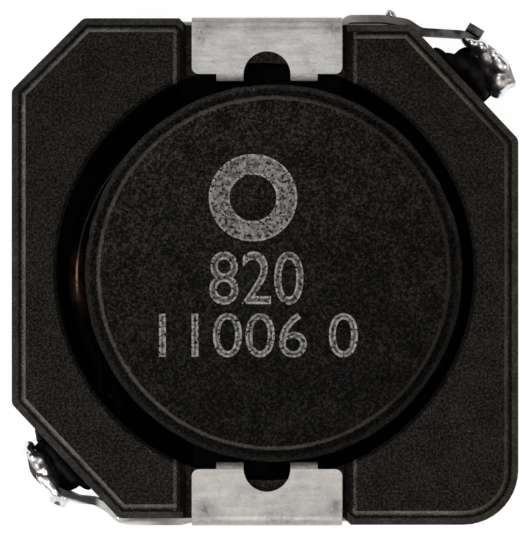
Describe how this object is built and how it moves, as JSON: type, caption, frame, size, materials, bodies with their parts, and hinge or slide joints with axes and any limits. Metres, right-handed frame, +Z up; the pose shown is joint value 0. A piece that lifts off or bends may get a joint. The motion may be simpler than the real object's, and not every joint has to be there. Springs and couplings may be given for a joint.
{
  "type": "shielded surface-mount power inductor",
  "caption": "Low, near-square power inductor: a wound ferrite drum in a ferrite shield, with folded terminal clips and soldered wire hooks at opposite corners.",
  "frame": {"origin": "on the board, under the middle of the part", "axes": "+Z up from the board, +Y towards the start terminal, +X to the right with the print upright"},
  "size_m": [0.0101, 0.0103, 0.0038],
  "materials": {
    "shield_ferrite": "matt, as pressed and fired",
    "drum_ferrite": "matt, as ground and fired",
    "enamelled_copper": "glossy clear enamel on copper",
    "tinned_sheet": "dull matt tin",
    "solder": "bright, as flowed",
    "adhesive": "cured glossy resin"
  },
  "bodies": {
    "root": {"shield_core": "shield_ferrite", "drum_core": "drum_ferrite", "winding": "enamelled_copper", "start_terminal": "tinned_sheet", "finish_terminal": "tinned_sheet", "start_solder": "solder", "finish_solder": "solder", "core_adhesive": "adhesive"}
  },
  "joints": []
}
